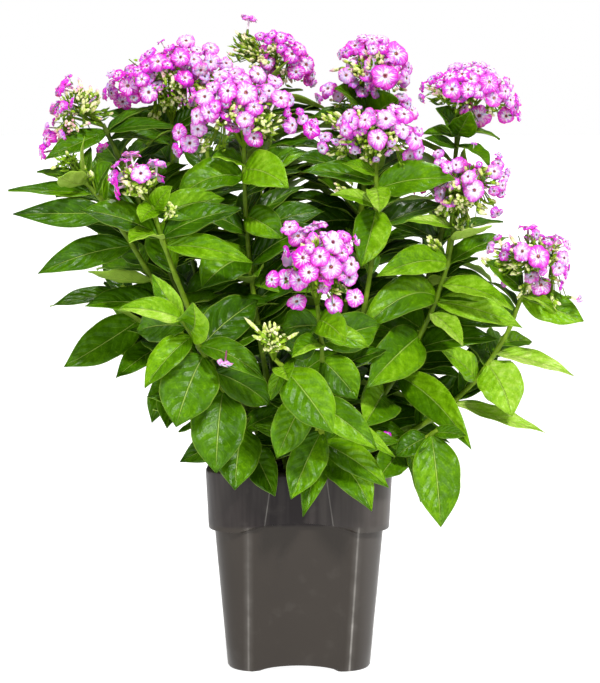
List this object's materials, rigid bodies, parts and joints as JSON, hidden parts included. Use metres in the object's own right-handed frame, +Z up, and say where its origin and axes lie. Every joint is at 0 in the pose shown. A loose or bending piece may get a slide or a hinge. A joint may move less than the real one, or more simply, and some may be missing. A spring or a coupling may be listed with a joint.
{
  "type": "potted phlox plant",
  "caption": "Garden phlox in flower with leafy upright stems and domed heads of pink florets, growing in a square nursery pot filled with soil.",
  "frame": {"origin": "middle of the flat boss under the pot, on the surface it stands on", "axes": "+Z up, the plant's front faces -Y, +X to the right seen from the front"},
  "size_m": [0.5215, 0.3431, 0.6002],
  "materials": {
    "pot_plastic": "dark grey-brown moulded plastic with a low sheen",
    "soil": "damp bark compost",
    "leaf": "satin leaf green with pale veins",
    "petal": "soft matte magenta-pink with paler middles",
    "bud": "matte cream-green buds with pink tips"
  },
  "bodies": {
    "root": {"pot": "pot_plastic", "soil": "soil", "flower_head_left_high": "petal", "flower_head_left_outer": "bud", "flower_head_left_inner": "petal", "flower_head_left_back": "petal", "flower_head_centre": "petal", "flower_head_centre_back": "petal", "flower_head_right_back": "petal", "flower_head_right_inner": "petal", "flower_head_right_high": "petal", "flower_head_right": "petal", "flower_head_right_outer": "petal", "flower_head_front_high": "petal", "flower_head_front_low": "bud", "flower_head_rear_left": "petal", "flower_head_rear_right": "petal", "flower_head_rear_far": "petal", "leafy_stem_left_high": "leaf", "leafy_stem_left_outer": "leaf", "leafy_stem_left_shoot": "leaf", "leafy_stem_left_front": "leaf", "leafy_stem_left_inner": "leaf", "leafy_stem_left_back": "leaf", "leafy_stem_centre": "leaf", "leafy_stem_centre_back": "leaf", "leafy_stem_right_back": "leaf", "leafy_stem_right_inner": "leaf", "leafy_stem_right_high": "leaf", "leafy_stem_right": "leaf", "leafy_stem_right_outer": "leaf", "leafy_stem_right_low": "leaf", "leafy_stem_front_high": "leaf", "leafy_stem_front_low": "leaf", "leafy_stem_rear_left": "leaf", "leafy_stem_rear_right": "leaf", "leafy_stem_rear_far": "leaf"}
  },
  "joints": []
}
